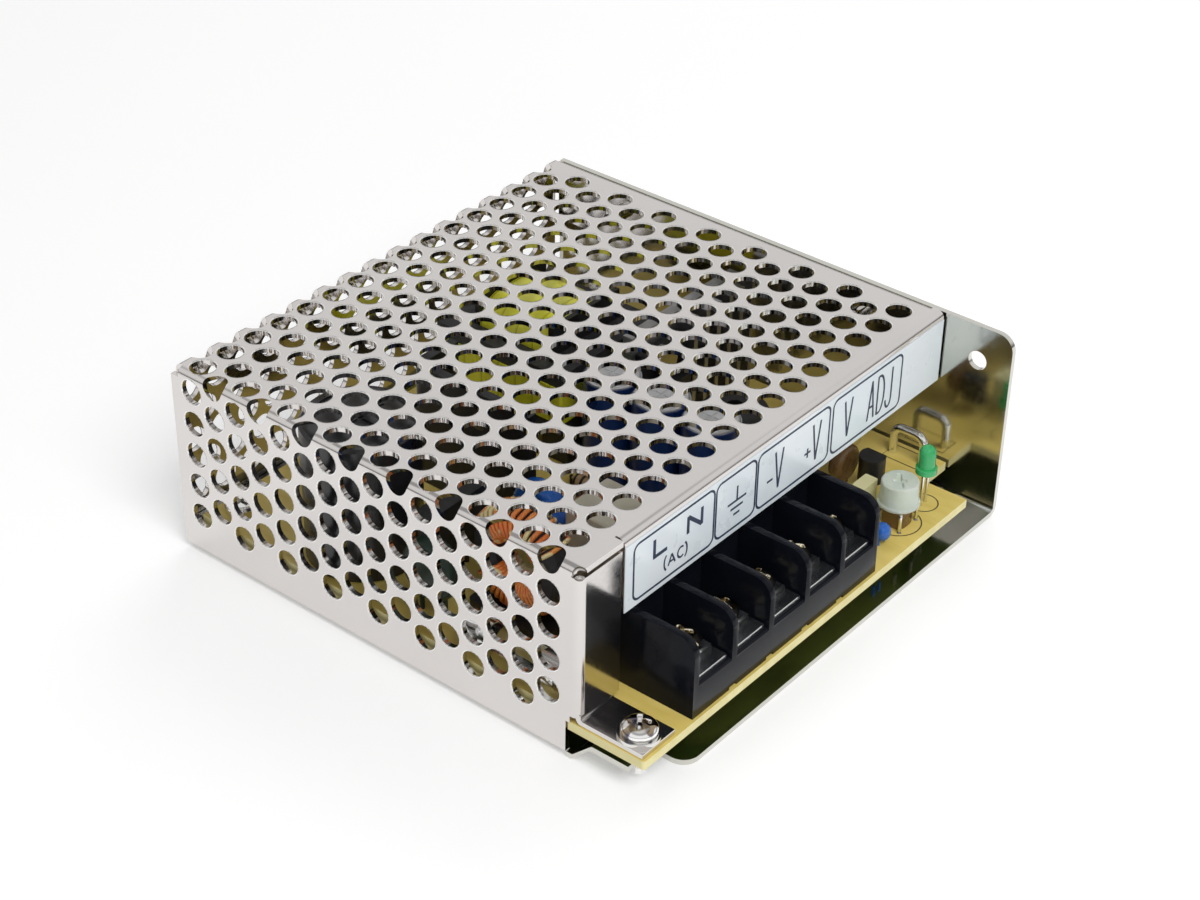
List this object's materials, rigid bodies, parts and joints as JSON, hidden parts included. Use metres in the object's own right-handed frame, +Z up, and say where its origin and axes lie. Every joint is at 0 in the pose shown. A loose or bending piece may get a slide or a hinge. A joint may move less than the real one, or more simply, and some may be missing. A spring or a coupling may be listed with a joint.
{
  "type": "mesh case switching power supply",
  "caption": "Flat enclosed power supply: folded chassis, perforated mesh cover, screw terminal block and voltage trimmer at the open front, with transformer, capacitors and heatsinks inside.",
  "frame": {"origin": "centre of the case's footprint, on its bottom face", "axes": "+Z up, -Y towards the screw terminals, +X towards the chassis's plain side wall"},
  "size_m": [0.097, 0.099, 0.036],
  "materials": {
    "chassis_metal": "bright plated",
    "cover_metal": "satin nickel plated",
    "label_film": "glossy film",
    "plated_screw": "bright plated",
    "dark_screw": "yellow-bright plated",
    "bright_metal": "tinned",
    "film": "thin insulating film",
    "board": "varnished laminate",
    "block_black": "moulded black",
    "trim_brown": "moulded brown",
    "knob_white": "milky white",
    "led_green": "tinted clear",
    "part_black": "moulded black",
    "film_yellow": "moulded pale yellow",
    "disc_tan": "dipped tan",
    "disc_blue": "dipped blue",
    "can_aluminium": "bright can",
    "sleeve_black": "shrunk black sleeve",
    "sleeve_blue": "shrunk dark blue sleeve",
    "ferrite": "ferrite",
    "bobbin_black": "moulded bobbin",
    "tape_yellow": "yellow tape",
    "winding_copper": "enamelled copper wire",
    "box_beige": "moulded beige box",
    "fuse_glass": "clear tube",
    "thermistor_dark": "dipped dark green",
    "heatsink": "extruded",
    "resistor_body": "lacquered"
  },
  "bodies": {
    "supply": {"chassis": "chassis_metal", "mesh_cover": "cover_metal", "label_plate": "label_film", "side_screws": "plated_screw", "tab_screw": "plated_screw", "tab_washer": "plated_screw", "board_standoffs": "plated_screw", "board_screws": "plated_screw", "insulation_sheet": "film", "circuit_board": "board", "terminal_housing": "block_black", "terminal_contacts": "bright_metal", "trimmer_base": "trim_brown", "trimmer_pins": "bright_metal", "led_lens": "led_green", "led_leads": "bright_metal", "small_transistor": "part_black", "small_transistor_leads": "bright_metal", "film_capacitor": "film_yellow", "wire_link": "bright_metal", "tan_capacitor": "disc_tan", "bead_capacitor": "disc_blue", "blue_capacitors": "disc_blue", "bulk_capacitor_can": "can_aluminium", "bulk_capacitor_sleeve": "sleeve_black", "transformer_core": "ferrite", "transformer_bobbin": "bobbin_black", "transformer_winding": "tape_yellow", "transformer_tape": "tape_yellow", "choke_core": "ferrite", "choke_windings": "winding_copper", "choke_base": "bobbin_black", "filter_capacitor": "box_beige", "fuse_glass": "fuse_glass", "fuse_caps": "bright_metal", "fuse_clips": "bright_metal", "thermistor": "thermistor_dark", "bridge_rectifier": "part_black", "primary_heatsink": "heatsink", "switching_transistor": "part_black", "secondary_heatsink": "heatsink", "output_rectifier": "part_black", "heatsink_screws": "plated_screw", "output_capacitor_cans": "can_aluminium", "output_capacitor_sleeves": "sleeve_blue", "output_inductor": "part_black", "control_chip": "part_black", "optocoupler": "part_black", "resistors": "resistor_body"},
    "knob": {"trimmer_knob": "knob_white"},
    "clamp_1": {"clamp_plate_1": "bright_metal"},
    "screw_1": {"terminal_screw_1": "dark_screw"},
    "clamp_2": {"clamp_plate_2": "bright_metal"},
    "screw_2": {"terminal_screw_2": "dark_screw"},
    "clamp_3": {"clamp_plate_3": "bright_metal"},
    "screw_3": {"terminal_screw_3": "dark_screw"},
    "clamp_4": {"clamp_plate_4": "bright_metal"},
    "screw_4": {"terminal_screw_4": "dark_screw"},
    "clamp_5": {"clamp_plate_5": "bright_metal"},
    "screw_5": {"terminal_screw_5": "dark_screw"}
  },
  "joints": [
    {"name": "trimmer_turn", "type": "hinge", "parent": "supply", "child": "knob", "pos_m": [0.02676, -0.0428, 0.015], "axis": [0, 0, 1], "range_deg": [-117, 117]},
    {"name": "clamp_1_lift", "type": "slide", "parent": "supply", "child": "clamp_1", "axis": [0, 0, 1], "range_m": [0, 0.003]},
    {"name": "screw_1_turn", "type": "hinge", "parent": "clamp_1", "child": "screw_1", "pos_m": [-0.0306, -0.0413, 0.015], "axis": [0, 0, 1], "range_deg": [0, 1800]},
    {"name": "clamp_2_lift", "type": "slide", "parent": "supply", "child": "clamp_2", "axis": [0, 0, 1], "range_m": [0, 0.003]},
    {"name": "screw_2_turn", "type": "hinge", "parent": "clamp_2", "child": "screw_2", "pos_m": [-0.0211, -0.0413, 0.015], "axis": [0, 0, 1], "range_deg": [0, 1800]},
    {"name": "clamp_3_lift", "type": "slide", "parent": "supply", "child": "clamp_3", "axis": [0, 0, 1], "range_m": [0, 0.003]},
    {"name": "screw_3_turn", "type": "hinge", "parent": "clamp_3", "child": "screw_3", "pos_m": [-0.0116, -0.0413, 0.015], "axis": [0, 0, 1], "range_deg": [0, 1800]},
    {"name": "clamp_4_lift", "type": "slide", "parent": "supply", "child": "clamp_4", "axis": [0, 0, 1], "range_m": [0, 0.003]},
    {"name": "screw_4_turn", "type": "hinge", "parent": "clamp_4", "child": "screw_4", "pos_m": [-0.0021, -0.0413, 0.015], "axis": [0, 0, 1], "range_deg": [0, 1800]},
    {"name": "clamp_5_lift", "type": "slide", "parent": "supply", "child": "clamp_5", "axis": [0, 0, 1], "range_m": [0, 0.003]},
    {"name": "screw_5_turn", "type": "hinge", "parent": "clamp_5", "child": "screw_5", "pos_m": [0.0074, -0.0413, 0.015], "axis": [0, 0, 1], "range_deg": [0, 1800]}
  ],
  "couplings": [
    {"joint": "screw_1_turn", "follows": "clamp_1_lift", "rad_per_m": 10472},
    {"joint": "screw_2_turn", "follows": "clamp_2_lift", "rad_per_m": 10472},
    {"joint": "screw_3_turn", "follows": "clamp_3_lift", "rad_per_m": 10472},
    {"joint": "screw_4_turn", "follows": "clamp_4_lift", "rad_per_m": 10472},
    {"joint": "screw_5_turn", "follows": "clamp_5_lift", "rad_per_m": 10472}
  ]
}
